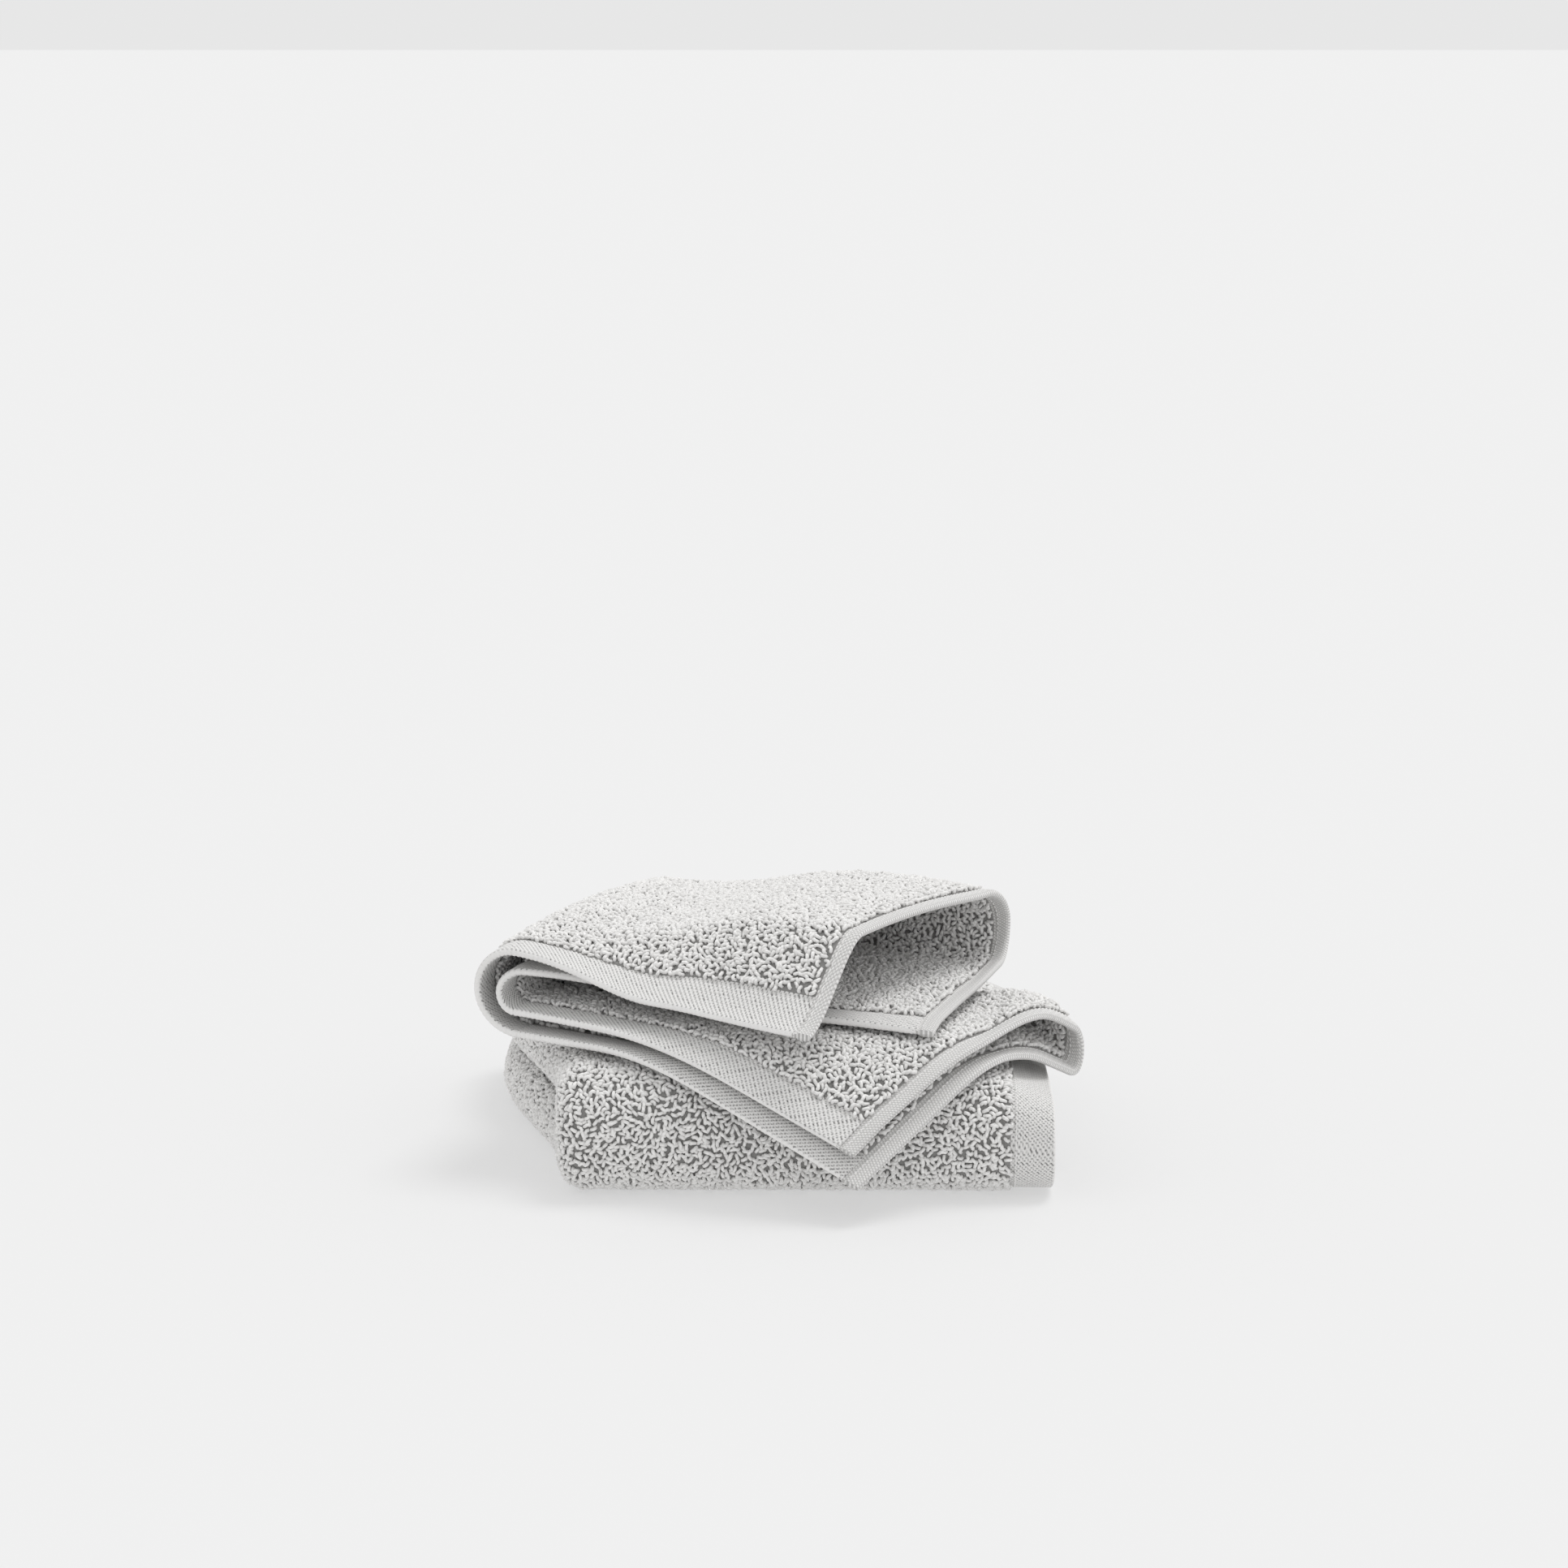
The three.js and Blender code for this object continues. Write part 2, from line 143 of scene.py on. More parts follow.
def cloth_point(u, v):
    """Middle surface of the face cloth folded in four.

    u runs from the layers C and D to A and B, v from A and D to B and C. A is the top layer.
    """
    u, v = np.broadcast_arrays(np.asarray(u, float), np.asarray(v, float))
    half = CLOTH_SIDE / 2
    flap, outer = u > half, v < half
    a, c = np.abs(u - half), np.abs(v - half)
    rho = BACK_RADIUS
    q = np.minimum(c / rho, HALF)
    w = np.where(outer, 1.0, -1.0) * rho * np.sin(q)
    r = SPINE_RADIUS + w
    big = SPINE_RADIUS + rho
    g = np.minimum(a / r, HALF)
    side = np.where(a < HALF * r, big - r * np.cos(g), big + a - HALF * r)
    s = side / (big + half - HALF * r)                    # 0 at the spine, 1 at the right
    o = 0.5 + 0.5 * w / rho                               # 1 in the outer layers, A and D
    m = 0.5 + np.where(flap, 0.5, -0.5) * np.sin(g)       # 1 in the flap's layers, A and B
    wide = lerp(lerp(rho, ROUND_BASE, ease((s - ROUND_FROM) / ROUND_OVER)),
                lerp(rho, ROUND_FLAP, ease(s * PUFF_RATE)), m)
    over = np.minimum(c / wide, HALF)
    back = np.where(c < HALF * wide, wide * (1 - np.cos(over)), wide + c - HALF * wide)
    t = back / (wide + half - HALF * wide)                # 0 at the back fold, 1 in front

    def plan(i):
        tip = lerp(lerp(TIP_C[i], TIP_D[i], o), lerp(TIP_B[i], TIP_A[i], o), m)
        far = lerp(RIGHT_BACK_BASE[i], RIGHT_BACK_FLAP[i], m)
        return ((1 - s) * ((1 - t) * LEFT_BACK[i] + t * LEFT_FRONT[i])
                + s * (t * tip + (1 - t) * far))

    x, y = plan(0), plan(1)
    # height above the hand towel, layer by layer
    P = CLOTH_PITCH
    swell = PUFF_BASE * ease((x - SWELL_FROM) / SWELL_OVER)
    hD = P / 2
    hC = 1.5 * P + swell
    hB = hC + P
    puff = (PUFF_RIGHT - PUFF_LEFT) * ease(s * PUFF_RATE)
    hA = hB + P + PUFF_LEFT + puff - swell / 2
    up = 0.5 + np.where(outer, 0.5, -0.5) * np.sin(over)
    crest = (CREST * np.sin(math.pi * s ** CREST_LEAN)
             * (1 - np.clip(t, 0, 1)) ** CREST_FADE * up)
    flat = lerp(lerp(hC, hD, up), lerp(hB, hA, up) + crest, m)
    rnd = P / 2 + big + np.where(flap, 1, -1) * r * np.sin(g)
    h = lerp(rnd, flat, ease((s - FLAT_FROM) / FLAT_OVER))
    h = h + CROWN * np.sin(math.pi * np.clip(t, 0, 1)) * np.clip((h - P) / (2 * big), 0, 1)
    sag = lerp(lerp(SAG_C, 0, o), lerp(SAG_B, SAG_A + SAG_PUFF * puff, o), m)
    edge = lerp(SAG_EDGE, lerp(SAG_EDGE, SAG_EDGE_A, o), m)
    h = h - sag * ease((t - edge) / (1 - edge)) * ease((s - SAG_FROM) / SAG_OVER)
    z = pad_top(x) + CLEAR + h - (P - TERRY) / 2
    # bent down over the hand towel's front fold
    cy = MID_LAYER * HAND_PITCH + TERRY / 2 - BEND_INSET
    cz = pad_top(x) / 2 - BEND_INSET
    bend = np.radians(lerp(lerp(BEND_C, BEND_D, o), lerp(BEND_B, BEND_A, o), m))
    d = np.maximum(cy - y, 0)
    R = z - cz
    turn = np.minimum(d / R, bend)
    rest = np.maximum(d - R * bend, 0)
    y2 = np.where(d > 0, cy - R * np.sin(turn) - rest * np.cos(bend), y)
    z2 = np.where(d > 0, cz + R * np.cos(turn) - rest * np.sin(bend), z)
    # the lower layers droop past the hand towel's right side
    e = np.maximum(x - DROOP_X, 0)
    Rx = DROOP_RADIUS + h - P / 2
    tx = np.minimum(e / Rx, DROOP)
    rx = np.maximum(e - Rx * DROOP, 0)
    hang = (~flap) & (e > 0)
    x3 = np.where(hang, DROOP_X + Rx * np.sin(tx) + rx * math.cos(DROOP), x)
    z3 = np.where(hang, z2 - Rx * (1 - np.cos(tx)) - rx * math.sin(DROOP), z2)
    return np.stack([x3, y2, z3], -1)


def spine_end(v):
    """Where the curve of the left fold ends on the flap's side, as u."""
    half = CLOTH_SIDE / 2
    q = np.minimum(np.abs(v - half) / BACK_RADIUS, HALF)
    return half + HALF * (SPINE_RADIUS + np.where(v < half, 1, -1) * BACK_RADIUS * np.sin(q))


def split_low(v):
    return CLOTH_SIDE - spine_end(v)


split_high = spine_end


class Towel:
    """A folded towel: its point function, the side its normals face, and its flat sizes.

    ends tells whether the borders lie at the ends of u, with the hems at those of v.
    """
    STEP = 0.05

    def __init__(self, point, sign, length, width, border, hem, ends):
        self.point, self.sign, self.ends = point, sign, ends
        self.L, self.W, self.border, self.hem = length, width, border, hem
        self.edge_u, self.edge_v = (border, hem) if ends else (hem, border)
        self.shift = np.zeros(3)

    def at(self, u, v):
        return self.point(u, v) + self.shift

    def basis(self, u, v):
        """Point, unit normal and the two unit tangents."""
        k = self.STEP
        p = self.at(u, v)
        tu = self.at(u + k, v) - self.at(u - k, v)
        tv = self.at(u, v + k) - self.at(u, v - k)
        n, tu = unit(np.cross(tu, tv) * self.sign), unit(tu)
        return p, n, tu, unit(np.cross(n, tu))

    def depth(self, U, V, along_u):
        """Distance from the nearer edge, along u or along v."""
        return np.minimum(U, self.L - U) if along_u else np.minimum(V, self.W - V)


HAND = Towel(hand_point, -1, HAND_LENGTH, HAND_WIDTH, HAND_BORDER, HAND_HEM, True)
CLOTH = Towel(cloth_point, 1, CLOTH_SIDE, CLOTH_SIDE, CLOTH_BORDER, CLOTH_HEM, False)


def frame_shift():
    """Where the frame put the two towels: the middle of the pile solid's box gives the shift."""
    u = np.linspace(HAND_BORDER + TERRY_GAP_U, HAND_LENGTH - HAND_BORDER - TERRY_GAP_U, 500)
    v = np.linspace(HAND_HEM + TERRY_GAP_V, HAND_WIDTH - HAND_HEM - TERRY_GAP_V, 300)
    p, n, _, _ = HAND.basis(*np.meshgrid(u, v, indexing="ij"))
    faces = [p + n * TERRY / 2, p - n * TERRY / 2]
    both = np.concatenate([face.reshape(-1, 3) for face in faces])
    lo, hi = (np.array(c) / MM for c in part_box("hand_terry"))
    move = (lo + hi) / 2 - (both.min(0) + both.max(0)) / 2
    move[2] = 0.0
    return move


shift = frame_shift()
HAND.shift = CLOTH.shift = shift

# ---- mesh helpers
UV_EDGE, UV_SPAN, UV_HALF, UV_SECOND = 0.01, 0.98, 0.48, 0.51
CELL_UV = (0.1, 0.9)                         # the part of its UV cell that a tube fills
RELIEF_SHADE_MID, RELIEF_SHADE_GAIN = 0.72, 3.2              # painted shade that follows a relief: the tone at its middle, and its gain per mm


def mesh_object(name, verts, quads, uv, material, extra=None, tone=None):
    """An object from points in millimetres, quads and UVs; extra holds faces of another size."""
    me = bpy.data.meshes.new(name)
    verts = np.asarray(verts, np.float32) * np.float32(MM)
    faces = [np.asarray(quads, np.int32)]
    if extra is not None and len(extra):
        faces.append(np.asarray(extra, np.int32))
    sizes = np.concatenate([np.full(len(f), f.shape[1], np.int32) for f in faces])
    index = np.concatenate([f.ravel() for f in faces])
    starts = np.concatenate([[0], np.cumsum(sizes)[:-1]]).astype(np.int32)
    me.vertices.add(len(verts))
    me.vertices.foreach_set("co", verts.ravel())
    me.loops.add(len(index))
    me.loops.foreach_set("vertex_index", index)
    me.polygons.add(len(sizes))
    me.polygons.foreach_set("loop_start", starts)
    me.polygons.foreach_set("use_smooth", np.full(len(sizes), True))
    layer = me.uv_layers.new(name="OFBake")
    layer.data.foreach_set("uv", np.asarray(uv, np.float32)[index].ravel())
    me.update(calc_edges=True)
    me.validate()
    # the tone attribute carries painted shade, and the loops' random tone; 1 leaves the colour
    # unshaded
    if tone is None:
        tone = np.ones(len(verts))
    tones = me.attributes.new("tone", "FLOAT", "POINT")
    tones.data.foreach_set("value", np.asarray(tone, np.float32))
    ob = bpy.data.objects.new(name, me)
    bpy.context.scene.collection.objects.link(ob)
    me.materials.append(material)
    return ob


def closed_grid(top, low, flip):
    """Points, quads and UVs of a closed shell between two grids of points of the same size."""
    rows, cols = top.shape[:2]

    def at(s, a, b):
        return (s * rows * cols + a * cols + b).ravel()

    verts = np.concatenate([top.reshape(-1, 3), low.reshape(-1, 3)])
    i, j = np.meshgrid(np.arange(rows - 1), np.arange(cols - 1), indexing="ij")
    quads = [np.stack([at(0, i, j), at(0, i + 1, j), at(0, i + 1, j + 1), at(0, i, j + 1)], 1),
             np.stack([at(1, i, j), at(1, i, j + 1), at(1, i + 1, j + 1), at(1, i + 1, j)], 1)]
    i = np.arange(rows - 1)
    for c, swap in ((0, False), (cols - 1, True)):
        q = np.stack([at(0, i, c), at(1, i, c), at(1, i + 1, c), at(0, i + 1, c)], 1)
        quads.append(q[:, ::-1] if swap else q)
    j = np.arange(cols - 1)
    for r, swap in ((0, True), (rows - 1, False)):
        q = np.stack([at(0, r, j), at(1, r, j), at(1, r, j + 1), at(0, r, j + 1)], 1)
        quads.append(q[:, ::-1] if swap else q)
    quads = np.concatenate(quads)
    if flip:
        quads = quads[:, ::-1]
    # each face of the cloth has one half of the UV square
    gu, gv = np.meshgrid(np.linspace(0, 1, rows), np.linspace(0, 1, cols), indexing="ij")
    gu, gv = UV_EDGE + gu.ravel() * UV_SPAN, gv.ravel() * UV_HALF
    uv = np.concatenate([np.stack([gu, UV_EDGE + gv], 1), np.stack([gu, UV_SECOND + gv], 1)])
    return verts, quads, uv


def patch(us, vs):
    """A grid of (u, v): each row of us is one value, or a function of v."""
    vs = np.asarray(vs, float)
    U = np.stack([f(vs) if callable(f) else np.full(len(vs), float(f)) for f in us])
    return U, np.broadcast_to(vs, U.shape)


def shell(name, towel, us, vs, half, material, relief=None, shade=None):
    """A closed piece of cloth: half is half its thickness, and relief(U, V) is added on both faces.

    Its tone, a painted shade, is shade(U, V), or else follows the relief, darker where it is low.
    """
    U, V = patch(us, vs)
    P, N, _, _ = towel.basis(U, V)
    h = half(U, V) if callable(half) else np.full(U.shape, float(half))
    tone = None
    if relief:
        bump = relief(U, V)
        h = h + bump
        # painted shade: darker where the relief is low, or as given by shade
        tone = shade(U, V) if shade else np.clip(RELIEF_SHADE_MID + bump * RELIEF_SHADE_GAIN, 0, 1)
        tone = np.concatenate([tone.ravel()] * 2)
    verts, quads, uv = closed_grid(P + N * h[..., None], P - N * h[..., None], towel.sign < 0)
    return mesh_object(name, verts, quads, uv, material, None, tone)


def tube_points(centre, f, g, radius, sides):
    """Rings of points round the centre lines, each in the plane of f and g."""
    w = np.arange(sides) * 2 * math.pi / sides
    ring = (f[:, :, None] * np.cos(w)[None, None, :, None]
            + g[:, :, None] * np.sin(w)[None, None, :, None])
    return (centre[:, :, None] + ring * radius).reshape(-1, 3)


def tube_faces(count, rings, sides):
    """Quads, end caps and UVs of many tubes; each tube has a cell of the UV square."""
    quads = [[i * sides + j, i * sides + (j + 1) % sides,
              (i + 1) * sides + (j + 1) % sides, (i + 1) * sides + j]
             for i in range(rings - 1) for j in range(sides)]
    caps = [list(range(sides - 1, -1, -1)), [(rings - 1) * sides + j for j in range(sides)]]
    first = (np.arange(count) * rings * sides)[:, None, None]
    across = int(math.ceil(math.sqrt(count)))
    cell = 1.0 / across
    left, low = (np.arange(count) % across) * cell, (np.arange(count) // across) * cell
    along = np.repeat(np.linspace(*CELL_UV, rings), sides)
    around = np.tile(np.linspace(*CELL_UV, sides), rings)
    uv = np.stack([np.tile(along, count) * cell + np.repeat(left, rings * sides),
                   np.tile(around, count) * cell + np.repeat(low, rings * sides)], 1)
    return ((np.array(quads)[None] + first).reshape(-1, 4),
            (np.array(caps)[None] + first).reshape(-1, sides), uv)


# ---- materials
BROAD_SCALE, BROAD_SHARE, BUMP_DEPTH = 35.0, 0.35, 0.0004


def set_inputs(node, **values):
    for key, value in values.items():
        node.inputs[key.replace("_", " ")].default_value = value


def cotton(name, colour, dark, painted_shade_colour, grain, bump, rough=0.95, sheen=0.2):
    """Cotton: two close tones from noise at two sizes, darker towards a painted shade colour where
    the tone attribute is low, with a fine fibre bump and a soft sheen."""
    mat = bpy.data.materials.new(name)
    mat.use_nodes = True
    nt = mat.node_tree
    bsdf = nt.nodes["Principled BSDF"]
    set_inputs(bsdf, Roughness=rough, Sheen_Weight=sheen, Sheen_Roughness=0.5,
               Specular_IOR_Level=0.15)
    tc = nt.nodes.new("ShaderNodeTexCoord")
    fine = nt.nodes.new("ShaderNodeTexNoise")
    set_inputs(fine, Scale=grain, Detail=4.0)
    broad = nt.nodes.new("ShaderNodeTexNoise")
    set_inputs(broad, Scale=BROAD_SCALE, Detail=2.0)
    mix = nt.nodes.new("ShaderNodeMath")
    mix.operation = "MULTIPLY_ADD"
    mix.inputs[1].default_value = BROAD_SHARE
    ramp = nt.nodes.new("ShaderNodeValToRGB")
    low, high = ramp.color_ramp.elements
    low.position, low.color = 0.3, (*dark, 1)
    high.position, high.color = 0.85, (*colour, 1)
    tone = nt.nodes.new("ShaderNodeAttribute")
    tone.attribute_name = "tone"
    # painted shade: where the tone attribute is low, the colour goes towards the shade colour
    shade = nt.nodes.new("ShaderNodeMix")
    shade.data_type = "RGBA"
    shade.inputs["A"].default_value = (*painted_shade_colour, 1)
    bmp = nt.nodes.new("ShaderNodeBump")
    set_inputs(bmp, Strength=bump, Distance=BUMP_DEPTH)
    link = nt.links.new
    link(tc.outputs["Object"], fine.inputs["Vector"])
    link(tc.outputs["Object"], broad.inputs["Vector"])
    link(broad.outputs["Fac"], mix.inputs[0])
    link(fine.outputs["Fac"], mix.inputs[2])
    link(mix.outputs[0], ramp.inputs["Fac"])
    link(tone.outputs["Fac"], shade.inputs["Factor"])
    link(ramp.outputs["Color"], shade.inputs["B"])
    link(shade.outputs["Result"], bsdf.inputs["Base Color"])
    link(fine.outputs["Fac"], bmp.inputs["Height"])
    link(bmp.outputs["Normal"], bsdf.inputs["Normal"])
    return mat


# the pile's shade colour is painted shade at the loops' feet
PILE = cotton("terry_pile", (0.96, 0.952, 0.94), (0.88, 0.872, 0.86), (0.16, 0.157, 0.152),
              1500.0, 0.5)
# painted shade: the ground is coloured dark to stand for the shade in the gaps between the loops
GROUND = cotton("terry_ground_painted_shade", (0.32, 0.315, 0.308), (0.22, 0.217, 0.212), (0.2, 0.2, 0.2),
                1200.0, 0.6)
# the border's shade colour is painted shade in the twill's holes and between its ribs
TWILL = cotton("twill_border", (0.90, 0.892, 0.88), (0.80, 0.792, 0.78), (0.10, 0.098, 0.095),
               1400.0, 0.5)
# the hems' shade colour is painted shade in the low places of their weave
HEMS = cotton("plain_hem", (0.90, 0.892, 0.88), (0.80, 0.792, 0.78), (0.16, 0.157, 0.152),
              1600.0, 0.5)
THREADS = cotton("seam_thread", (0.92, 0.914, 0.903), (0.84, 0.834, 0.824), (0.2, 0.2, 0.2),
                 2000.0, 0.4, 0.8, 0.1)


def done(ob, body, nodes=(), blend=None):
    """Puts a finished piece on its body, or else bakes its transform into its mesh; hides the given
    parts.
    """
    if blend:
        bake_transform(ob)
    else:
        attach(ob, body)
    if nodes:
        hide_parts(*nodes)
    return ob


# The spine of the fold, outer and inner layers: for each, two points at the hinge, at two heights.
LOW_INSET, HIGH_INSET, INNER_REACH = 0.0045, 0.0090, 0.0077
spine_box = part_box("cloth_terry_spine")
hinge = next(j for j in frame["record"]["behaviour"]["joints"] if j["name"] == "cloth_unfold")
hx, hy, hz = hinge["pos_m"]
OUTER_TURN = ((hx, hy, spine_box[0][2] + LOW_INSET), (hx, hy, spine_box[1][2] - HIGH_INSET))
INNER_TURN = ((hx, hy, hz - INNER_REACH), (hx, hy, hz + INNER_REACH))

# ---- exposed places: rays from both faces of each towel
CELL = 6.0                                   # size of a tested cell
GRID, SOLID_HALF = 3.0, 2.8                  # of the solids that stop the rays
RAYS, GOLDEN = 18, 2.39996
RAY_START, RAY_REACH, SEEN_SHARE = 3.3, 240.0, 0.06
SLAB_SIZE, SLAB_Z = 900, -0.4                # the floor under the towels


def solid_mesh(towel, us, vs):
    P, N, _, _ = towel.basis(*patch(us, vs))
    verts, quads, _ = closed_grid(P + N * SOLID_HALF, P - N * SOLID_HALF, towel.sign < 0)
    return verts, quads


def tree_of(*parts):
    base, vs, qs = 0, [], []
    for v, q in parts:
        vs.append(v)
        qs.append(q + base)
        base += len(v)
    return BVHTree.FromPolygons(np.concatenate(vs).tolist(), np.concatenate(qs).tolist())


def value(row, v):
    return row(v) if callable(row) else np.full(np.shape(v), float(row))


def between(f, g, n):
    """n + 1 rows from f to g, each of which is a value or a function of v."""
    return [(lambda v, k=k: lerp(value(f, v), value(g, v), k / n)) for k in range(n + 1)]


cloth_v = np.arange(0, CLOTH_SIDE + 0.1, GRID)
hand_solid = solid_mesh(HAND, np.arange(0, HAND_LENGTH + 1, GRID),
                        np.arange(0, HAND_WIDTH + 1, GRID))
base_solid = solid_mesh(CLOTH, between(0.0, split_low, 45), cloth_v)
spine_solid = solid_mesh(CLOTH, between(split_low, split_high, 20), cloth_v)
flap_solid = solid_mesh(CLOTH, between(split_high, CLOTH_SIDE, 45), cloth_v)
slab = (np.array([[x * SLAB_SIZE, y * SLAB_SIZE, SLAB_Z]
                  for x, y in ((-1, -1), (1, -1), (1, 1), (-1, 1))]), np.array([[0, 1, 2, 3]]))
ALL_TREE = tree_of(hand_solid, base_solid, spine_solid, flap_solid, slab)
HAND_TREE = tree_of(hand_solid, slab)
BASE_TREE = tree_of(base_solid, spine_solid)
FLAP_TREE = tree_of(flap_solid)

steps = np.arange(RAYS)
up = 1 - (steps + 0.5) / RAYS
DIRS = np.stack([np.sqrt(1 - up ** 2) * np.cos(steps * GOLDEN),
                 np.sqrt(1 - up ** 2) * np.sin(steps * GOLDEN), up], 1)


def escapes(tree, towel, U, V, side):
    """Share of rays that get away from each point of one face."""
    P, N, T, B = towel.basis(U, V)
    N = N * side
    start = P + N * RAY_START
    out = np.zeros(U.shape)
    for k in np.ndindex(U.shape):
        for d in DIRS @ np.stack([T[k], B[k], N[k]]):
            if tree.ray_cast(Vector(start[k]), Vector(d), RAY_REACH)[0] is None:
                out[k] += 1
    return out / RAYS


def grow(mask):
    """The mask and its neighbours."""
    m = mask.copy()
    m[1:] |= mask[:-1]
    m[:-1] |= mask[1:]
    n = m.copy()
    n[:, 1:] |= m[:, :-1]
    n[:, :-1] |= m[:, 1:]
    return n


def exposure(towel):
    """For each face: the cells seen at rest, and those seen once their own body is alone."""
    U, V = np.meshgrid(np.arange(CELL / 2, towel.L, CELL), np.arange(CELL / 2, towel.W, CELL),
                       indexing="ij")
    out = {}
    for side in (1, -1):
        rest = escapes(ALL_TREE, towel, U, V, side) > SEEN_SHARE
        if towel is HAND:
            alone = escapes(HAND_TREE, towel, U, V, side) > 0
        else:
            alone = np.where(U > split_high(V), escapes(FLAP_TREE, towel, U, V, side),
                             escapes(BASE_TREE, towel, U, V, side)) > 0
        out[side] = (grow(rest), alone)
    return out


SEEN = {"hand": exposure(HAND), "cloth": exposure(CLOTH)}

# ---- the loops of the pile, in millimetres
FINE, COARSE, COARSE_SIZE = 1.68, 2.5, 1.3   # spacing where it shows at rest, and elsewhere
CROWD, JITTER = 2.4, 0.45
PIECE_FACES = 190000                         # triangles in one piece, at most
STRIP, STRIP_RANK = 40, 1000                 # loops are sorted by strips of this width
LOOP_FOOT, LOOP_HEIGHT, STRAND = (0.9, 1.25), (1.4, 2.3), (0.72, 0.88)
LOOP_LEAN, LOOP_PUSH, LOOP_BASE = 0.7, 0.5, 0.55
BULGE, TWIST = 0.25, 0.28
EDGE_REACH, EDGE_LEAN = 2.4, 1.1
LOWEST = 0.05                                # no loop goes lower than this
# painted shade at the loops' feet, low in the pile, gone towards their tops; each loop also gets a
# random tone
FOOT_SHADE, FOOT_SHADE_SPAN, LOOP_TONES = 0.05, 0.6, (0.86, 1.0)


def outward(a, full, edge):
    """-1 or 1 near either edge of the pile field, and 0 between."""
    near = np.minimum(a - edge, full - edge - a) < EDGE_REACH
    return np.where(near, np.where(a < full / 2, -1.0, 1.0), 0.0)


def loops(name, towel, U, V, side, rings, sides, body, blend, size):
    """Uncut loops standing on one face of a towel, as bent tubes, in pieces of limited size."""
    made = []
    step = int(PIECE_FACES / (2 * (rings - 1) * sides + 2 * (sides - 2)))
    order = np.argsort(U // STRIP * STRIP_RANK + V)
    U, V = U[order], V[order]
    a = np.linspace(0, math.pi, rings)
    ca, sa = np.cos(a), np.sin(a)
    for part in range(0, len(U), step):
        u, v = U[part:part + step], V[part:part + step]
        count = len(u)
        P, N, T, B = towel.basis(u, v)
        N = N * side
        turn = rng.uniform(0, 2 * math.pi, count)
        d = T * np.cos(turn)[:, None] + B * np.sin(turn)[:, None]
        e = np.cross(N, d)
        foot = rng.uniform(*LOOP_FOOT, count) * size
        tall = rng.uniform(*LOOP_HEIGHT, count)
        lean = rng.normal(0, LOOP_LEAN, count)
        push = rng.normal(0, LOOP_PUSH, count)
        radius = rng.uniform(*STRAND, count) * size
        # loops at the edge of the field lean out over the flat border
        out_u = outward(u, towel.L, towel.edge_u)
        out_v = outward(v, towel.W, towel.edge_v) * towel.sign
        over = (T * out_u[:, None] + B * out_v[:, None]) * EDGE_LEAN
        reach = foot[:, None] * ca * (1 + BULGE * sa) + push[:, None] * sa ** 2
        centre = (P[:, None] + N[:, None] * (LOOP_BASE + tall[:, None] * sa)[..., None]
                  + d[:, None] * reach[..., None]
                  + (e * lean[:, None] + over)[:, None] * (sa ** 2)[None, :, None]
                  + e[:, None] * (TWIST * ca)[None, :, None])
        tangent = unit(np.gradient(centre, axis=1))
        f = unit(np.cross(tangent, e[:, None]))
        g = np.cross(tangent, f)
        verts = tube_points(centre, f, g, radius[:, None, None, None], sides)
        verts[:, 2] = np.maximum(verts[:, 2], LOWEST)
        # painted shade: each loop darker towards its feet, times a random tone of its own
        fade = np.clip((sa - FOOT_SHADE) / FOOT_SHADE_SPAN, 0, 1)
        tone = fade[None, :] * rng.uniform(*LOOP_TONES, count)[:, None]
        quads, caps, uv = tube_faces(count, rings, sides)
        ob = mesh_object(f"{name}_{part // step + 1}", verts, quads, uv, PILE, caps,
                         np.repeat(tone.ravel(), sides))
        made.append(done(ob, body, (), blend))
    return made


def scatter(gap, u0, u1, v0, v1):
    """A close, jittered crowd of places to choose from."""
    p = gap / CROWD
    U, V = np.meshgrid(np.arange(u0, u1, p), np.arange(v0, v1, p), indexing="ij")
    U = (U + rng.uniform(-JITTER, JITTER, U.shape) * p).ravel()
    V = (V + rng.uniform(-JITTER, JITTER, V.shape) * p).ravel()
    ok = (U > u0) & (U < u1) & (V > v0) & (V < v1)
    return U[ok], V[ok]


def spaced(towel, U, V, gap):
    """Thins the crowd until no two places are closer than the gap, on the folded cloth."""
    order = rng.permutation(len(U))
    U, V = U[order], V[order]
    P = towel.at(U, V).tolist()
    tree = KDTree(len(U))
    for i, co in enumerate(P):
        tree.insert(co, i)
    tree.balance()
    free = np.ones(len(U), bool)
    chosen = []
    for i, co in enumerate(P):
        if free[i]:
            chosen.append(i)
            for _, j, _ in tree.find_range(co, gap):
                free[j] = False
    chosen = np.array(chosen, int)
    return U[chosen], V[chosen]


def look(mask, U, V):
    """The mask's value in the cell of each place."""
    i = np.clip((U // CELL).astype(int), 0, mask.shape[0] - 1)
    j = np.clip((V // CELL).astype(int), 0, mask.shape[1] - 1)
    return mask[i, j]


def pile(which, towel, box, groups):
    """Loops on both faces: fine and close where they show at rest, plainer in the other places."""
    out = {}
    for side, face in ((1, "out"), (-1, "in")):
        for pitch, level, rings, sides, size in ((FINE, "near", 6, 5, 1.0),
                                                 (COARSE, "far", 5, 4, COARSE_SIZE)):
            U, V = scatter(pitch, *box)
            rest, alone = (look(mask, U, V) for mask in SEEN[which][side])
            keep = rest if level == "near" else (alone & ~rest)
            U, V = spaced(towel, U[keep], V[keep], pitch)
            for label, body, test, blend in groups:
                m = test(U, V)
                if m.any():
                    made = loops(f"{label}_pile_{face}_{level}", towel, U[m], V[m], side, rings,
                                 sides, body, blend, size)
                    out.setdefault(label, []).extend(made)
    return out


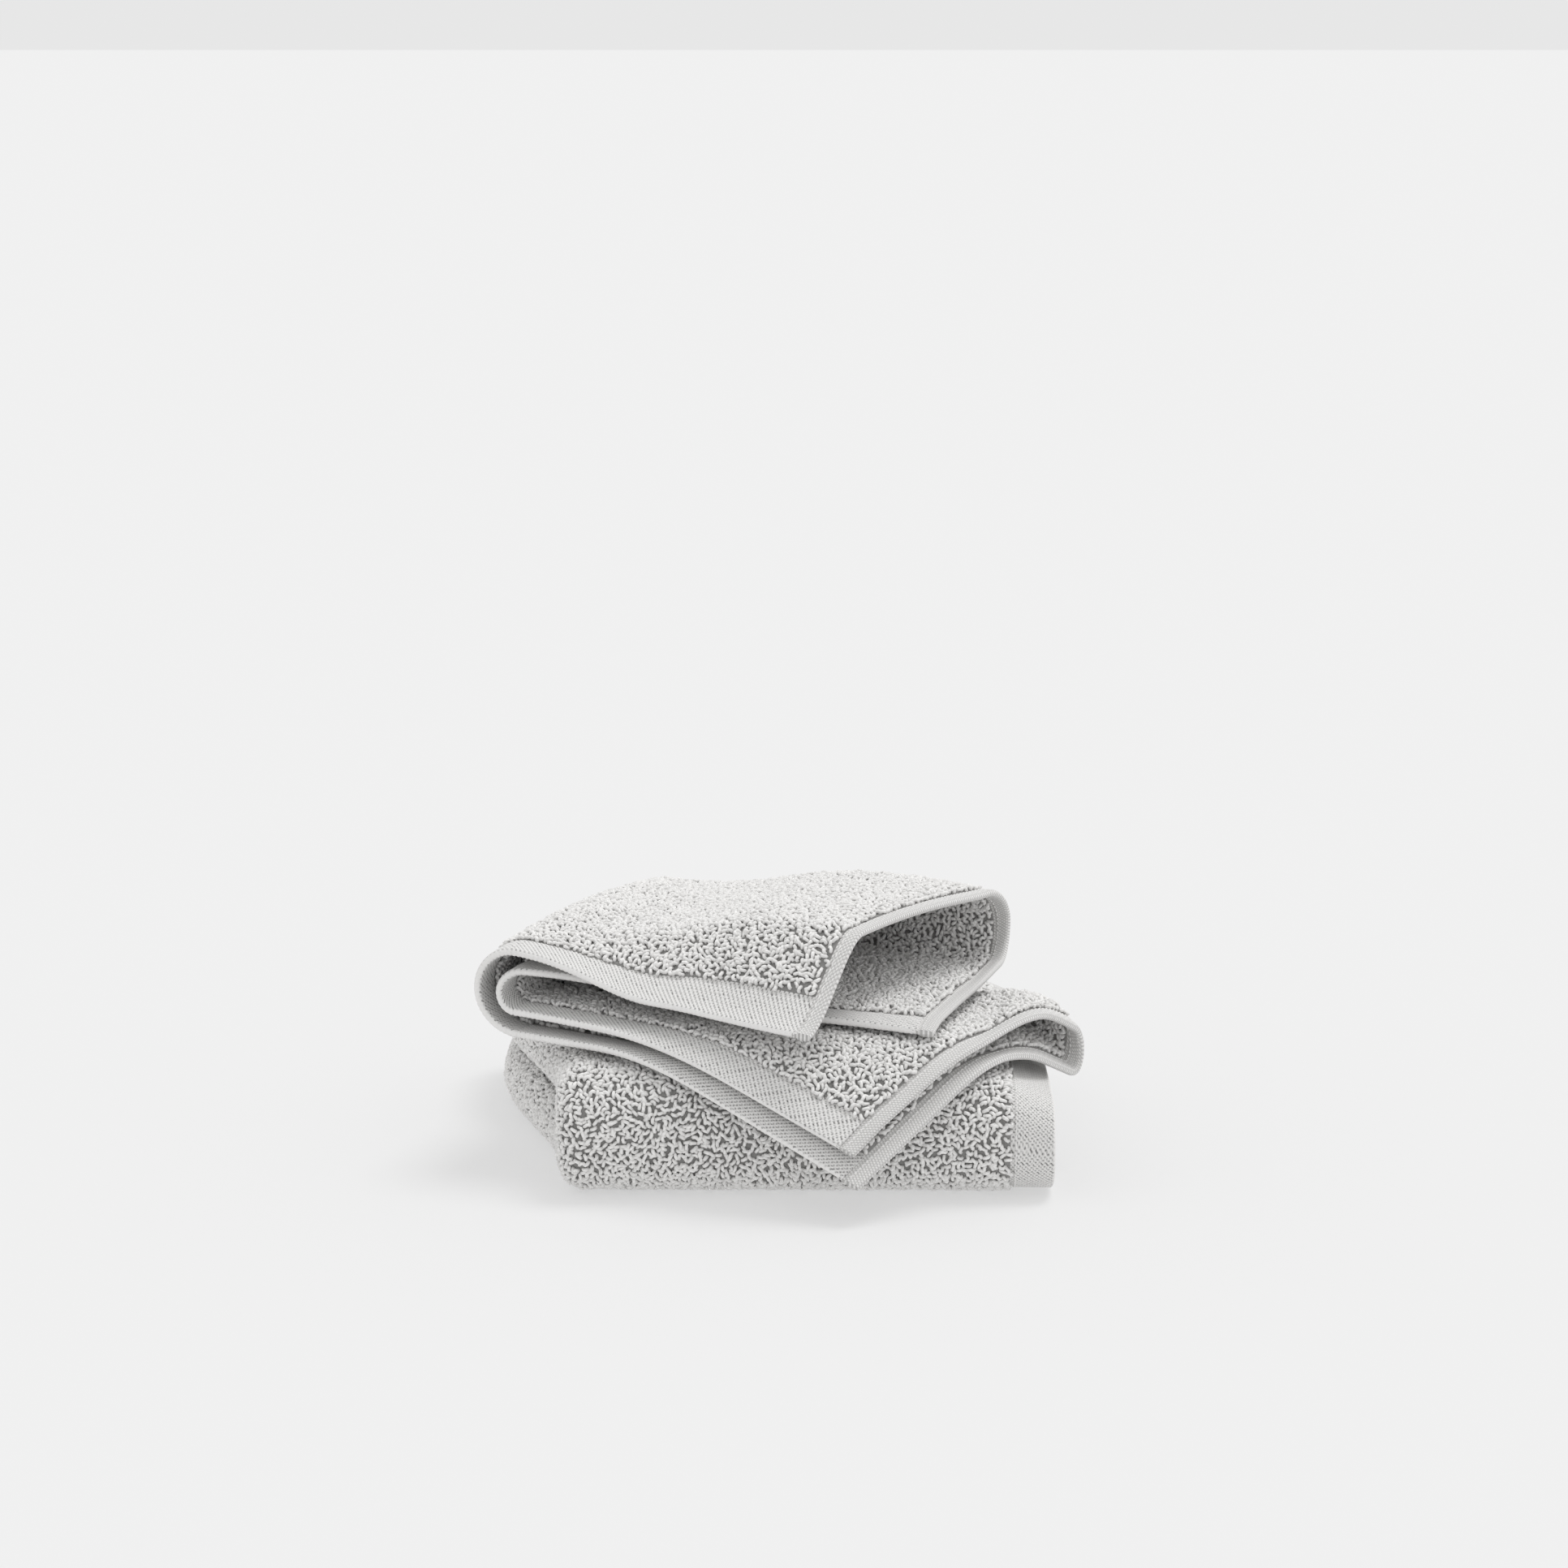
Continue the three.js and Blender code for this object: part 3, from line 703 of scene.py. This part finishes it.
mid = CLOTH_SIDE / 2
hand_piles = pile("hand", HAND, (HAND_BORDER + 0.4, HAND_LENGTH - HAND_BORDER - 0.4,
                                 HAND_HEM + 0.8, HAND_WIDTH - HAND_HEM - 0.8),
                  [("hand", "hand_towel", lambda u, v: u > -1, None)])
cloth_piles = pile("cloth", CLOTH, (CLOTH_HEM + 0.6, CLOTH_SIDE - CLOTH_HEM - 0.6,
                                    CLOTH_BORDER + 0.4, CLOTH_SIDE - CLOTH_BORDER - 0.4), [
    ("base", "cloth_base", lambda u, v: u <= split_low(v), None),
    ("flap", "cloth_flap", lambda u, v: u >= split_high(v), None),
    ("spine_outer", None,
     lambda u, v: (u > split_low(v)) & (u < split_high(v)) & (v <= mid), OUTER_TURN),
    ("spine_inner", None,
     lambda u, v: (u > split_low(v)) & (u < split_high(v)) & (v > mid), INNER_TURN),
])

# ---- the woven ground under the pile, which runs in under the borders and hems; its dark colour is painted shade between the loops
THIN = 1.1                                   # half of its thickness
UNDER, STOP, SEAM = 0.5, 0.6, 1.7
hand_ground = shell("hand_ground", HAND,
                    np.arange(HAND_BORDER - UNDER, HAND_LENGTH - HAND_BORDER + STOP, 2.0),
                    np.arange(HAND_HEM - UNDER, HAND_WIDTH - HAND_HEM + STOP, 2.4), THIN, GROUND)
done(hand_ground, "hand_towel", ["hand_terry"])
ground_v = np.arange(CLOTH_BORDER - UNDER, CLOTH_SIDE - CLOTH_BORDER + STOP, 1.6)
base_ground = shell("base_ground", CLOTH, between(CLOTH_HEM - UNDER, split_low, 80), ground_v,
                    THIN, GROUND)
done(base_ground, "cloth_base", ["cloth_terry_base"])
flap_ground = shell("flap_ground", CLOTH, between(split_high, CLOTH_SIDE - CLOTH_HEM + UNDER, 80),
                    ground_v, THIN, GROUND)
done(flap_ground, "cloth_flap", ["cloth_terry_flap"])
spine_rows = between(split_low, split_high, 50)
spine_a = shell("spine_outer_ground", CLOTH, spine_rows, ground_v[ground_v <= mid], THIN, GROUND)
done(spine_a, None, ["cloth_terry_spine"], OUTER_TURN)
spine_b = shell("spine_inner_ground", CLOTH, spine_rows, ground_v[ground_v > mid - SEAM], THIN,
                GROUND)
done(spine_b, None, ["cloth_terry_spine"], INNER_TURN)


# ---- borders and hems: a rounded free edge, and thinner at the seam with the pile
def band_half(towel, along_u, width, thick, thinner, seam, over):
    def half(U, V):
        d = towel.depth(U, V, along_u)
        rim = np.sqrt(np.clip(1 - (1 - np.clip(d / thick, 0, 1)) ** 2, 0.02, 1))
        return thick * rim * (1 - thinner * ease((d - (width - seam)) / over))
    return half


def border_half(towel):
    return band_half(towel, towel.ends, towel.border, 1.5, 0.42, 2.6, 0.9)


def hem_half(towel):
    return band_half(towel, not towel.ends, towel.hem, 1.6, 0.45, 2.4, 0.8)


# ---- the twill borders: diagonal ribs broken by rows of small holes
RIB, RIB_SLANT, RIB_SHAPE = 2.05, 0.9, 0.75
ROW, ROW_SLANT = 1.45, 0.35


def twill_parts(towel, lean, U, V):
    """Ribs that lean across the band, holes in rows between them, and the fade at the edge."""
    a, b = (U, V) if towel.ends else (V, U)
    phase = (b + lean * RIB_SLANT * a) / RIB
    rib = np.abs(np.sin(math.pi * phase)) ** RIB_SHAPE
    row = (a - lean * ROW_SLANT * b) / ROW + 0.5 * (np.floor(phase) % 2)
    hole = np.clip(1 - rib, 0, 1) ** 1.2 * np.clip(0.5 + 0.9 * np.cos(2 * math.pi * row), 0, 1)
    fade = ease((towel.depth(U, V, towel.ends) - 0.3) / 0.6)
    return rib, hole, row, fade


def twill(towel, lean):
    def relief(U, V):
        rib, hole, row, fade = twill_parts(towel, lean, U, V)
        return (0.26 * rib + 0.05 * rib * np.cos(2 * math.pi * row) - 0.38 * hole - 0.08) * fade
    return relief


# painted shade of the twill: darker in its holes and between its ribs
def twill_painted_shade(towel, lean):
    def tone(U, V):
        rib, hole, row, fade = twill_parts(towel, lean, U, V)
        return np.clip(1 - (1.1 * hole + 0.22 * (1 - rib)) * fade - 0.03, 0, 1)
    return tone


def rows(f, g, step):
    """Rows from f to g, about a step apart in the middle of the cloth."""
    first, last = (float(value(h, np.array([mid]))[0]) for h in (f, g))
    return between(f, g, max(2, int(abs(last - first) / step)))


FINE_STEP, HAND_STEP, HIDDEN_STEP = 0.42, 0.45, 0.9
LAP, TUCK, END = 0.8, 0.6, 0.01              # over the ground, under the hem, past the edge
hem_in = CLOTH_HEM - TUCK
for tag, vs, turning in (
        ("outer", np.arange(0, CLOTH_BORDER + LAP, FINE_STEP), OUTER_TURN),
        ("inner", np.arange(CLOTH_SIDE - CLOTH_BORDER - LAP, CLOTH_SIDE + END, FINE_STEP),
         INNER_TURN)):
    for layer, us, body, blend in (
            ("base", rows(hem_in, split_low, FINE_STEP), "cloth_base", None),
            ("flap", rows(split_high, CLOTH_SIDE - hem_in, FINE_STEP), "cloth_flap", None),
            ("spine", rows(split_low, split_high, FINE_STEP), None, turning)):
        band = shell(f"border_{tag}_{layer}", CLOTH, us, vs, border_half(CLOTH), TWILL,
                     twill(CLOTH, 1), twill_painted_shade(CLOTH, 1))
        done(band, body, [f"cloth_border_{tag}_{layer}"], blend)
for tag, node, u0, u1, step in (
        ("out", "hand_border_outer", 0, HAND_BORDER + LAP, HAND_STEP),
        ("in", "hand_border_inner", HAND_LENGTH - HAND_BORDER - LAP, HAND_LENGTH + END,
         HIDDEN_STEP)):
    band = shell(f"hand_border_{tag}", HAND, np.arange(u0, u1, step),
                 np.arange(HAND_HEM - TUCK, HAND_WIDTH - HAND_HEM + TUCK, step),
                 border_half(HAND), TWILL, twill(HAND, -1), twill_painted_shade(HAND, -1))
    done(band, "hand_towel", [node])

# ---- the plain side hems: a fine check with ribs across, and painted shade in its low places
CHECK_ALONG, CHECK_ACROSS, HEM_RIB = 1.5, 1.7, 0.85
HEM_LAP, HAND_HEM_LAP = 0.7, 1.0


def plain(towel):
    def relief(U, V):
        a, b = (V, U) if towel.ends else (U, V)
        check = np.cos(2 * math.pi * b / CHECK_ALONG) * np.cos(2 * math.pi * a / CHECK_ACROSS)
        return 0.15 * check + 0.05 * np.cos(2 * math.pi * a / HEM_RIB)
    return relief


hem_v = np.arange(0, CLOTH_SIDE + END, 0.45)
hand_long = np.arange(0, HAND_LENGTH + 0.1, 0.7)
for name, towel, us, vs, body, node in (
        ("cloth_hem_lower_layers", CLOTH, np.arange(0, CLOTH_HEM + HEM_LAP, 0.35), hem_v,
         "cloth_base", "cloth_hem_base"),
        ("cloth_hem_upper_layers", CLOTH,
         np.arange(CLOTH_SIDE - CLOTH_HEM - HEM_LAP, CLOTH_SIDE + END, 0.35), hem_v,
         "cloth_flap", "cloth_hem_flap"),
        ("hand_hem_below", HAND, hand_long, np.arange(0, HAND_HEM + HAND_HEM_LAP, 0.5),
         "hand_towel", "hand_hem_lower"),
        ("hand_hem_above", HAND, hand_long,
         np.arange(HAND_WIDTH - HAND_HEM - HAND_HEM_LAP, HAND_WIDTH + END, 0.5),
         "hand_towel", "hand_hem_upper")):
    done(shell(name, towel, us, vs, hem_half(towel), HEMS, plain(towel)), body, [node])

# ---- stitches: short, slightly sunk lengths of thread along each seam, on both faces
STITCH_PITCH, STITCH_HALF, THREAD = 2.5, 0.95, 0.26
STITCH_RINGS = STITCH_SIDES = 5
STITCH_ARCH, STITCH_SUNK = 0.22, 0.12


def stitches(name, towel, u, margin, lift, body, nodes):
    """Stitches at u, across the width of a towel up to a margin from its edges."""
    k = np.linspace(-1, 1, STITCH_RINGS)
    line = np.arange(margin, towel.W - margin, STITCH_PITCH)
    v = line[:, None] + STITCH_HALF * k
    P, N, _, _ = towel.basis(np.full_like(v, u), v)
    height = lift + STITCH_ARCH * np.sqrt(1 - 0.98 * k ** 2) - STITCH_SUNK
    radius = (THREAD * np.sqrt(1 - 0.85 * k ** 2))[None, :, None, None]
    verts = []
    for side in (1, -1):
        n = N * side
        centre = P + n * height[None, :, None]
        f = np.cross(unit(np.gradient(centre, axis=1)), n)
        verts.append(tube_points(centre, f, n, radius, STITCH_SIDES))
    quads, caps, uv = tube_faces(2 * len(line), STITCH_RINGS, STITCH_SIDES)
    ob = mesh_object(name, np.concatenate(verts), quads, uv, THREADS, caps)
    return done(ob, body, nodes)


HEM_SEAM, BORDER_SEAM = 2.4, 2.8             # from the inner edge of the hem and the border
stitches("cloth_stitch_lower_layers", CLOTH, CLOTH_HEM - HEM_SEAM, 3.0, 1.55, "cloth_base",
         ["cloth_seam_base"])
stitches("cloth_stitch_upper_layers", CLOTH, CLOTH_SIDE - CLOTH_HEM + HEM_SEAM, 3.0, 1.55,
         "cloth_flap", ["cloth_seam_flap"])
stitches("hand_stitch_out", HAND, HAND_BORDER - BORDER_SEAM, 10.0, 1.5, "hand_towel",
         ["hand_seam_outer"])
stitches("hand_stitch_in", HAND, HAND_LENGTH - HAND_BORDER + BORDER_SEAM, 10.0, 1.5,
         "hand_towel", ["hand_seam_inner"])


def flat(a, b):
    return (a * MM, b * MM)


# ---- floor and light: a pale floor that glows a little, so that it stays pale in the shadow
FLOOR_SIZE, FLOOR_TONE, FLOOR_GLOW = 600, 0.36, 0.47
SKY, SUN, SUN_WIDTH, SUN_DIRECTION = 0.80, 1.1, math.radians(28), (-0.35, -0.20, -1.0)
floor_mat = bpy.data.materials.new("floor")
floor_mat.use_nodes = True
set_inputs(floor_mat.node_tree.nodes["Principled BSDF"],
           Base_Color=(FLOOR_TONE, FLOOR_TONE, FLOOR_TONE, 1), Roughness=1.0,
           Specular_IOR_Level=0.0, Emission_Color=(1, 1, 1, 1), Emission_Strength=FLOOR_GLOW)
bpy.ops.mesh.primitive_plane_add(size=FLOOR_SIZE, location=(0, 0, 0))
floor = bpy.context.object
floor.name = "floor"
floor.data.materials.append(floor_mat)

scene = bpy.context.scene
world = scene.world or bpy.data.worlds.new("world")
scene.world = world
world.use_nodes = True
set_inputs(world.node_tree.nodes["Background"], Color=(1, 1, 1, 1), Strength=SKY)

sun = bpy.data.lights.new("sun", "SUN")
sun.energy = SUN
sun.angle = SUN_WIDTH
sun_ob = bpy.data.objects.new("sun", sun)
sun_ob.rotation_euler = Vector(SUN_DIRECTION).to_track_quat("-Z", "Y").to_euler()
scene.collection.objects.link(sun_ob)

# ---- the camera, at the photograph's angle, aimed above and beside the middle of the front
ELEVATION = math.radians(17.0)
DISTANCE, WIDE, SENSOR = 1.6, 0.6472, 36.0
RAISE = math.atan(0.1735 / DISTANCE)
SIDE = math.atan(0.0084 / DISTANCE)
cam = bpy.data.cameras.new("camera")
cam.sensor_width = SENSOR
cam.lens = SENSOR * DISTANCE / WIDE
camera = bpy.data.objects.new("camera", cam)
look_dir = Vector((0, math.cos(ELEVATION), -math.sin(ELEVATION)))
camera.location = Vector((shift[0] * MM, shift[1] * MM, 0)) - look_dir * DISTANCE
tilt = ELEVATION - RAISE
aim = Vector((-math.sin(SIDE), math.cos(SIDE) * math.cos(tilt), -math.sin(tilt)))
camera.rotation_euler = aim.to_track_quat("-Z", "Y").to_euler()
scene.collection.objects.link(camera)
scene.camera = camera
scene.view_settings.view_transform = "Standard"
